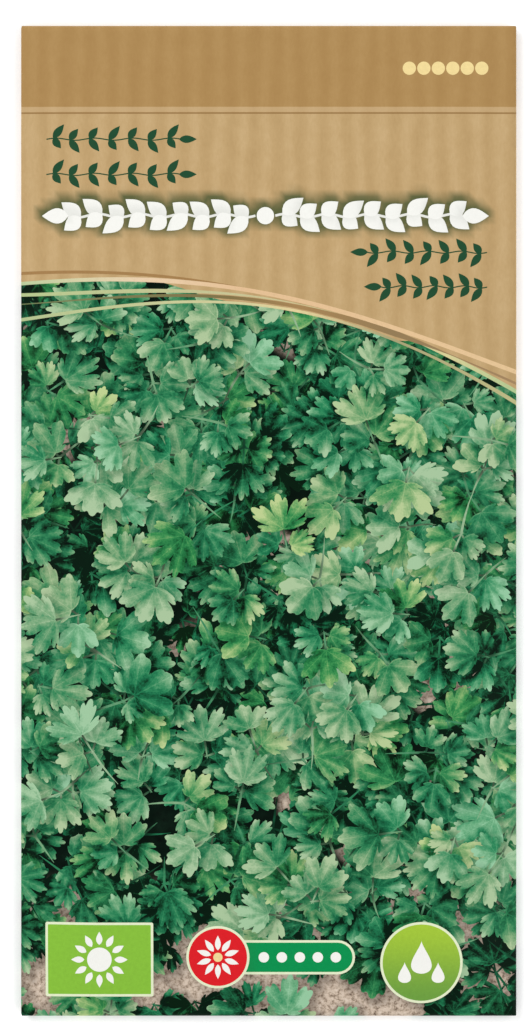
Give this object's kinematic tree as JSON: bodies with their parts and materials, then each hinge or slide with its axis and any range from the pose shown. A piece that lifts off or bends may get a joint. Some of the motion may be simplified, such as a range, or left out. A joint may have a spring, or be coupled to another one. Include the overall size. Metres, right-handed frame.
{
  "type": "seed packet",
  "caption": "Flat rectangular paper seed packet with folded, glued flaps and a picture front, holding loose ribbed coriander seeds and lying on its back panel.",
  "frame": {"origin": "middle of the packet's footprint, on the surface that its back panel lies on", "axes": "+X across the packet to the right as its front is read, +Y towards its top edge, +Z out of its printed front"},
  "size_m": [0.08, 0.16, 0.0057],
  "materials": {
    "printed_paper": "satin",
    "dried_glue": "satin",
    "seed_husk": "matte"
  },
  "bodies": {
    "root": {"envelope": "printed_paper", "side_seam_glue": "dried_glue", "bottom_flap_glue": "dried_glue", "top_flap_glue": "dried_glue", "coriander_seed_01": "seed_husk", "coriander_seed_02": "seed_husk", "coriander_seed_03": "seed_husk", "coriander_seed_04": "seed_husk", "coriander_seed_05": "seed_husk", "coriander_seed_06": "seed_husk", "coriander_seed_07": "seed_husk", "coriander_seed_08": "seed_husk", "coriander_seed_09": "seed_husk", "coriander_seed_10": "seed_husk", "coriander_seed_11": "seed_husk", "coriander_seed_12": "seed_husk", "coriander_seed_13": "seed_husk", "coriander_seed_14": "seed_husk", "coriander_seed_15": "seed_husk", "coriander_seed_16": "seed_husk", "coriander_seed_17": "seed_husk", "coriander_seed_18": "seed_husk", "coriander_seed_19": "seed_husk", "coriander_seed_20": "seed_husk", "coriander_seed_21": "seed_husk", "coriander_seed_22": "seed_husk", "coriander_seed_23": "seed_husk", "coriander_seed_24": "seed_husk", "coriander_seed_25": "seed_husk", "coriander_seed_26": "seed_husk", "coriander_seed_27": "seed_husk", "coriander_seed_28": "seed_husk", "coriander_seed_29": "seed_husk", "coriander_seed_30": "seed_husk", "coriander_seed_31": "seed_husk", "coriander_seed_32": "seed_husk", "coriander_seed_33": "seed_husk", "coriander_seed_34": "seed_husk", "coriander_seed_35": "seed_husk", "coriander_seed_36": "seed_husk", "coriander_seed_37": "seed_husk", "coriander_seed_38": "seed_husk", "coriander_seed_39": "seed_husk", "coriander_seed_40": "seed_husk", "coriander_seed_41": "seed_husk", "coriander_seed_42": "seed_husk", "coriander_seed_43": "seed_husk", "coriander_seed_44": "seed_husk", "coriander_seed_45": "seed_husk", "coriander_seed_46": "seed_husk", "coriander_seed_47": "seed_husk", "coriander_seed_48": "seed_husk", "coriander_seed_49": "seed_husk", "coriander_seed_50": "seed_husk", "coriander_seed_51": "seed_husk", "coriander_seed_52": "seed_husk"}
  },
  "joints": []
}
